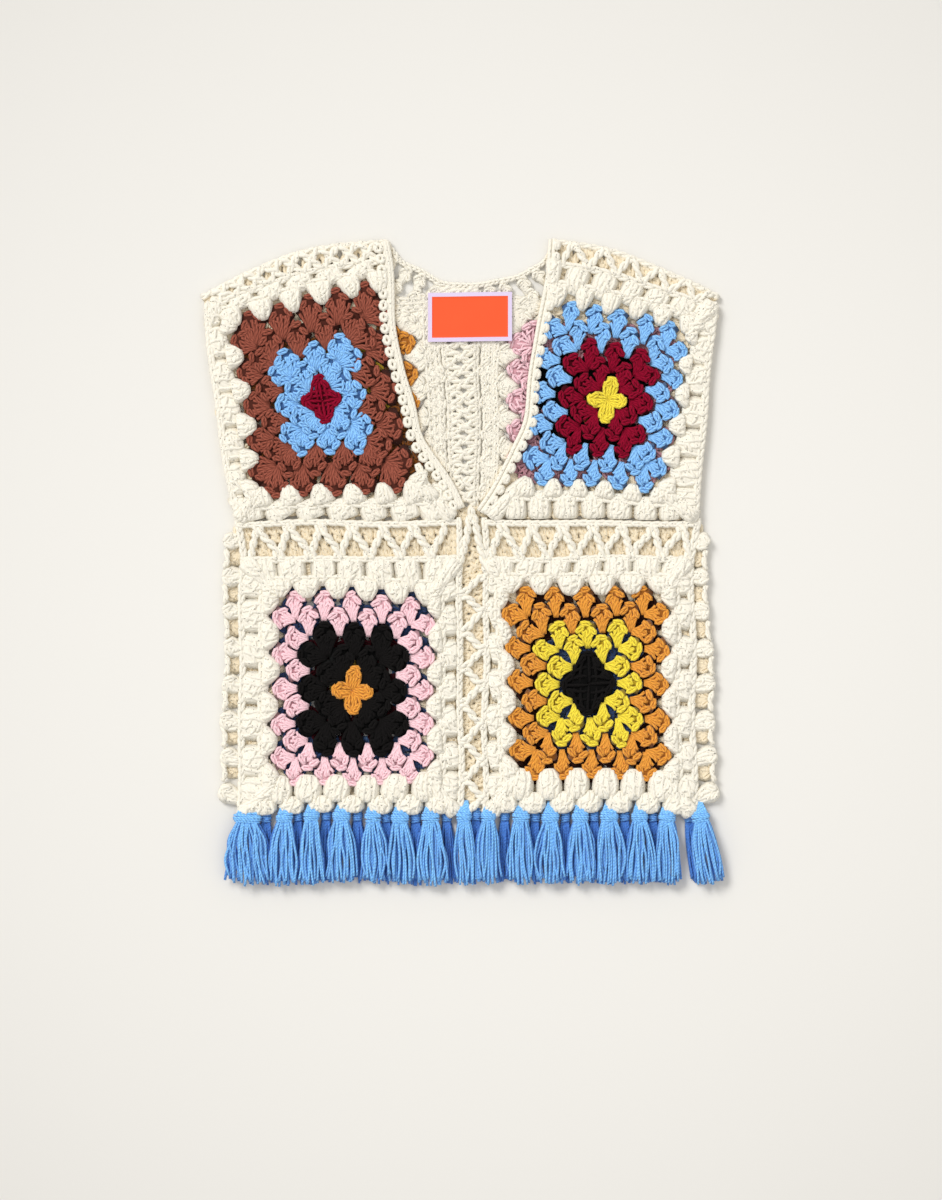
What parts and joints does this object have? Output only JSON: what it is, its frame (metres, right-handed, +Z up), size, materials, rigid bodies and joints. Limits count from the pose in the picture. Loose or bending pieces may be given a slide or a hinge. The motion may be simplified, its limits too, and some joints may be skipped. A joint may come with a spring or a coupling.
{
  "type": "crochet top",
  "caption": "Sleeveless V-neck crochet top of granny squares joined by open zigzag lattices, with a tasselled hem, laid flat with its front up.",
  "frame": {"origin": "middle of the garment's outline, on the surface it lies on", "axes": "+X to the right as seen from above, the wearer's left; +Y from the hem to the shoulders; +Z up, out of the front"},
  "size_m": [0.5226, 0.6463, 0.0151],
  "materials": {
    "square_yarn": "matte twisted cotton yarn in crochet clusters, cream border and coloured rounds",
    "lattice_yarn": "matte cream cotton yarn in chains",
    "edging_yarn": "matte cream cotton yarn in slip stitch",
    "tassel_yarn": "matte blue cotton yarn, cut ends",
    "label_cloth": "smooth woven tape with a stitched edge"
  },
  "bodies": {
    "root": {"back_centre_lattice_lower": "lattice_yarn", "back_centre_lattice_upper": "lattice_yarn", "back_neck_yoke": "edging_yarn", "back_square_lower_left": "square_yarn", "back_square_lower_right": "square_yarn", "back_square_upper_left": "square_yarn", "back_square_upper_right": "square_yarn", "back_tassel_01": "tassel_yarn", "back_tassel_02": "tassel_yarn", "back_tassel_03": "tassel_yarn", "back_tassel_04": "tassel_yarn", "back_tassel_05": "tassel_yarn", "back_tassel_06": "tassel_yarn", "back_tassel_07": "tassel_yarn", "back_tassel_08": "tassel_yarn", "back_tassel_09": "tassel_yarn", "back_tassel_10": "tassel_yarn", "back_tassel_11": "tassel_yarn", "back_tassel_12": "tassel_yarn", "back_tassel_13": "tassel_yarn", "back_tassel_14": "tassel_yarn", "back_tassel_15": "tassel_yarn", "back_waist_lattice_left": "lattice_yarn", "back_waist_lattice_right": "lattice_yarn", "front_centre_lattice": "lattice_yarn", "front_neck_band_left": "edging_yarn", "front_neck_band_right": "edging_yarn", "front_square_lower_left": "square_yarn", "front_square_lower_right": "square_yarn", "front_square_upper_left": "square_yarn", "front_square_upper_right": "square_yarn", "front_tassel_01": "tassel_yarn", "front_tassel_02": "tassel_yarn", "front_tassel_03": "tassel_yarn", "front_tassel_04": "tassel_yarn", "front_tassel_05": "tassel_yarn", "front_tassel_06": "tassel_yarn", "front_tassel_07": "tassel_yarn", "front_tassel_08": "tassel_yarn", "front_tassel_09": "tassel_yarn", "front_tassel_10": "tassel_yarn", "front_tassel_11": "tassel_yarn", "front_tassel_12": "tassel_yarn", "front_tassel_13": "tassel_yarn", "front_tassel_14": "tassel_yarn", "front_tassel_15": "tassel_yarn", "front_tassel_16": "tassel_yarn", "front_waist_lattice_left": "lattice_yarn", "front_waist_lattice_right": "lattice_yarn", "neck_knot": "edging_yarn", "neck_label": "label_cloth", "shoulder_lattice_left": "lattice_yarn", "shoulder_lattice_right": "lattice_yarn", "side_lattice_left": "lattice_yarn", "side_lattice_right": "lattice_yarn"}
  },
  "joints": []
}
